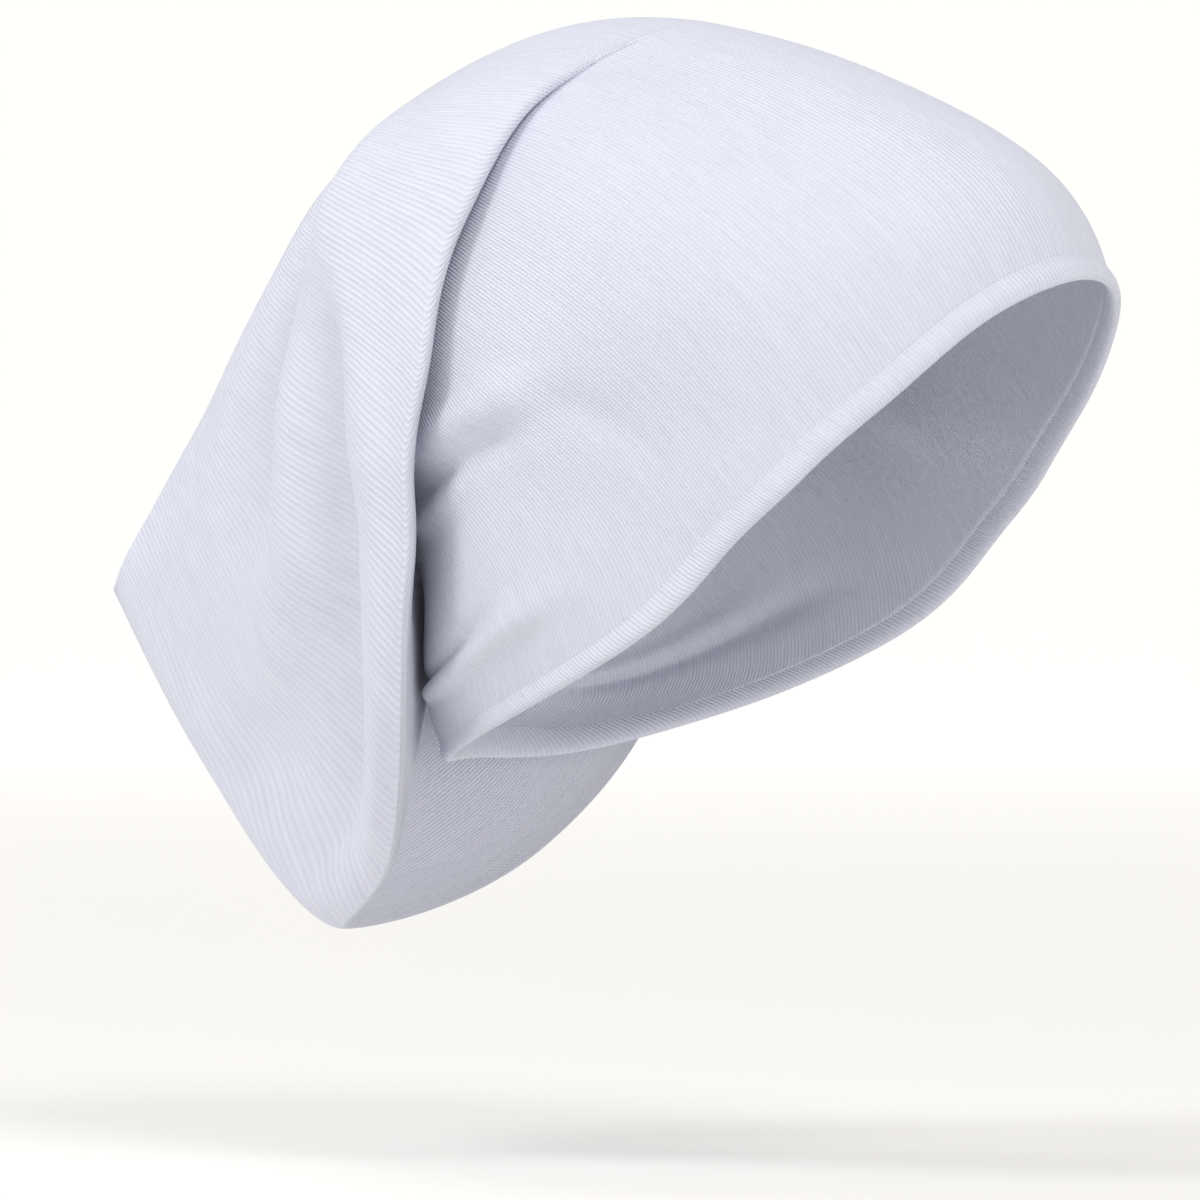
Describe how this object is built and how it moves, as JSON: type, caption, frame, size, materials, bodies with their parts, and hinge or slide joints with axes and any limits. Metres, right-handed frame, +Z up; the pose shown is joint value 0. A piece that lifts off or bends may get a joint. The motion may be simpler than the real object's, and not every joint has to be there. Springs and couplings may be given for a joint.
{
  "type": "hijab underscarf cap",
  "caption": "Jersey tube cap in its worn form: taut front over the head, a deep pleat on each side and a closed tail hanging behind the nape, with a turned hem round the face.",
  "frame": {"origin": "the crown of the head inside the cap, the highest point of the inner surface", "axes": "+Z up, the face looks towards -Y, the tail hangs towards +Y, and the wearer's right is -X"},
  "size_m": [0.1565, 0.2831, 0.2299],
  "materials": {
    "ribbed_jersey": "matte fine-rib knit, pale lavender white",
    "hem_jersey": "matte fine-rib knit turned into a soft roll, pale lavender white"
  },
  "bodies": {
    "root": {"cap_body": "ribbed_jersey", "face_hem": "hem_jersey"}
  },
  "joints": []
}
